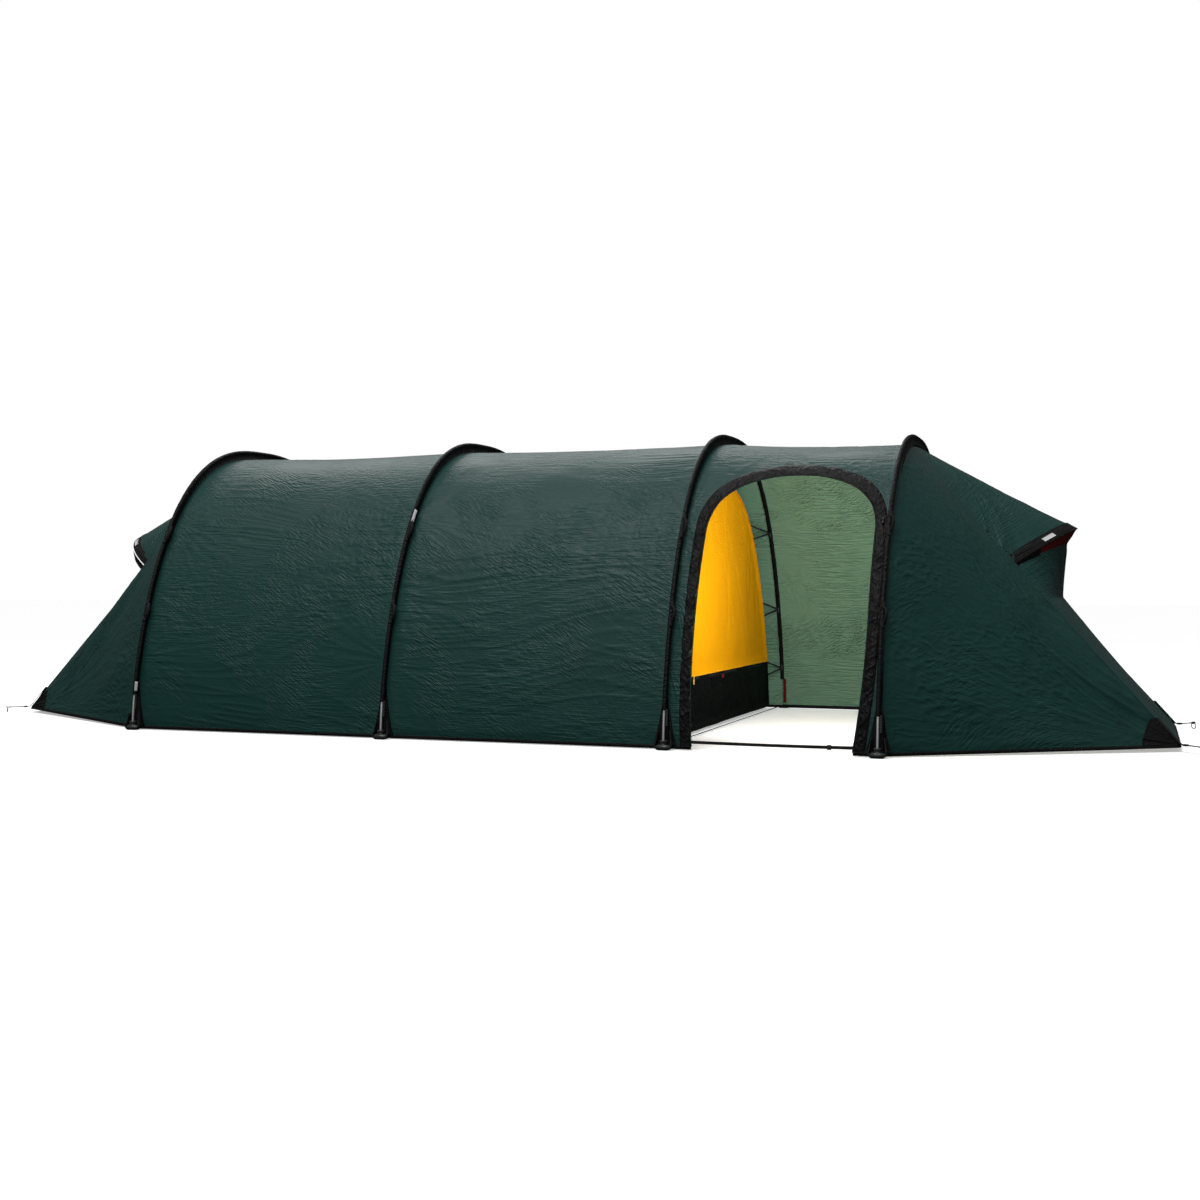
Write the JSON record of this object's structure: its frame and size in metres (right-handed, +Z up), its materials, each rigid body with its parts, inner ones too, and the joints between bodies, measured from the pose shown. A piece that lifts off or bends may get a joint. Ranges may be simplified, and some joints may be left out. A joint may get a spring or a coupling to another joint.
{
  "type": "tunnel tent",
  "caption": "Tunnel tent on bowed poles in sleeves, with an arched side door, a hooded vestibule at each end, a hung inner tent and pegging rings on corner straps.",
  "frame": {"origin": "on the ground, midway between the outermost hoops and on the tent's middle line", "axes": "+X along the tunnel to the vestibule next to the side door, +Y away from the door side, +Z up"},
  "size_m": [5.4222, 2.09, 1.2735],
  "materials": {
    "flysheet": "dark green ripstop flysheet with a light sheen",
    "sleeve": "black woven pole sleeve and foot panels",
    "pole": "drawn tube, satin",
    "foot_cup": "moulded, dark grey",
    "webbing": "black woven webbing",
    "black_trim": "gathered black cloth",
    "vent_mesh": "dark red vent cloth",
    "buckle": "moulded, black",
    "ring_steel": "bright plated wire",
    "zip_slider": "coated slider and pull",
    "inner_fabric": "yellow breathable cloth",
    "tub_fabric": "coated black floor cloth",
    "zip_pull": "yellow coated slider and tape pull",
    "elastic": "black elastic cord"
  },
  "bodies": {
    "tent": {"outer_span_rear": "flysheet", "outer_span_middle": "flysheet", "outer_span_door": "flysheet", "hoop_pole_1": "pole", "pole_sleeve_1": "sleeve", "pole_cup_1_near": "foot_cup", "foot_sling_1_near": "webbing", "pole_cup_1_far": "foot_cup", "foot_sling_1_far": "webbing", "hoop_pole_2": "pole", "pole_sleeve_2": "sleeve", "pole_cup_2_near": "foot_cup", "foot_sling_2_near": "webbing", "pole_cup_2_far": "foot_cup", "foot_sling_2_far": "webbing", "hoop_pole_3": "pole", "pole_sleeve_3": "sleeve", "pole_cup_3_near": "foot_cup", "foot_sling_3_near": "webbing", "pole_cup_3_far": "foot_cup", "foot_sling_3_far": "webbing", "hoop_pole_4": "pole", "pole_sleeve_4": "sleeve", "pole_cup_4_near": "foot_cup", "foot_sling_4_near": "webbing", "pole_cup_4_far": "foot_cup", "foot_sling_4_far": "webbing", "outer_vestibule_front": "flysheet", "end_wall_front": "flysheet", "hood_rim_front": "black_trim", "hood_vent_front": "vent_mesh", "corner_strap_front_near": "webbing", "corner_strap_front_far": "webbing", "outer_vestibule_rear": "flysheet", "end_wall_rear": "flysheet", "hood_rim_rear": "black_trim", "hood_vent_rear": "vent_mesh", "corner_strap_rear_near": "webbing", "corner_strap_rear_far": "webbing", "door_band": "black_trim", "door_sill_strap": "webbing", "inner_canopy": "inner_fabric", "inner_front_wall": "inner_fabric", "inner_floor_tub": "tub_fabric", "elastic_tie_1": "elastic", "elastic_tie_2": "elastic", "elastic_tie_3": "elastic", "ground_cord": "elastic"},
    "ring_front_near": {"stake_ring_front_near": "ring_steel"},
    "buckle_front_near": {"strap_buckle_front_near": "buckle"},
    "ring_front_far": {"stake_ring_front_far": "ring_steel"},
    "buckle_front_far": {"strap_buckle_front_far": "buckle"},
    "ring_rear_near": {"stake_ring_rear_near": "ring_steel"},
    "buckle_rear_near": {"strap_buckle_rear_near": "buckle"},
    "ring_rear_far": {"stake_ring_rear_far": "ring_steel"},
    "buckle_rear_far": {"strap_buckle_rear_far": "buckle"},
    "sill_adjuster": {"door_sill_adjuster": "buckle"},
    "toggle": {"door_toggle": "buckle"},
    "door_zip": {"door_zip_slider": "zip_slider"},
    "inner_zip": {"inner_zip_slider": "zip_pull"}
  },
  "joints": [
    {"name": "ring_swing_front_near", "type": "hinge", "parent": "tent", "child": "ring_front_near", "pos_m": [2.701, -0.519, 0.028], "axis": [0.7071, 0.7071, 0], "range_deg": [-165, 70]},
    {"name": "buckle_slide_front_near", "type": "slide", "parent": "tent", "child": "buckle_front_near", "axis": [0.7071, -0.7071, 0], "range_m": [0, 0.055]},
    {"name": "ring_swing_front_far", "type": "hinge", "parent": "tent", "child": "ring_front_far", "pos_m": [2.701, 0.519, 0.028], "axis": [-0.7071, 0.7071, 0], "range_deg": [-165, 70]},
    {"name": "buckle_slide_front_far", "type": "slide", "parent": "tent", "child": "buckle_front_far", "axis": [0.7071, 0.7071, 0], "range_m": [0, 0.055]},
    {"name": "ring_swing_rear_near", "type": "hinge", "parent": "tent", "child": "ring_rear_near", "pos_m": [-2.701, -0.519, 0.028], "axis": [0.7071, -0.7071, 0], "range_deg": [-165, 70]},
    {"name": "buckle_slide_rear_near", "type": "slide", "parent": "tent", "child": "buckle_rear_near", "axis": [-0.7071, -0.7071, 0], "range_m": [0, 0.055]},
    {"name": "ring_swing_rear_far", "type": "hinge", "parent": "tent", "child": "ring_rear_far", "pos_m": [-2.701, 0.519, 0.028], "axis": [-0.7071, -0.7071, 0], "range_deg": [-165, 70]},
    {"name": "buckle_slide_rear_far", "type": "slide", "parent": "tent", "child": "buckle_rear_far", "axis": [-0.7071, 0.7071, 0], "range_m": [0, 0.055]},
    {"name": "sill_adjuster_slide", "type": "slide", "parent": "tent", "child": "sill_adjuster", "axis": [-1, 0, 0], "range_m": [-0.06, 0.45]},
    {"name": "toggle_turn", "type": "hinge", "parent": "tent", "child": "toggle", "pos_m": [1.567, -0.74329, 0.86051], "axis": [0, -0.804, 0.5947], "range_deg": [-90, 90]},
    {"name": "door_zip_run", "type": "hinge", "parent": "tent", "child": "door_zip", "pos_m": [0.894, 0.929, -0.127], "axis": [-1, 0, 0], "range_deg": [0, 18.5]},
    {"name": "inner_zip_run", "type": "slide", "parent": "tent", "child": "inner_zip", "axis": [0, 1, 0], "range_m": [-0.36, 1.26]}
  ]
}
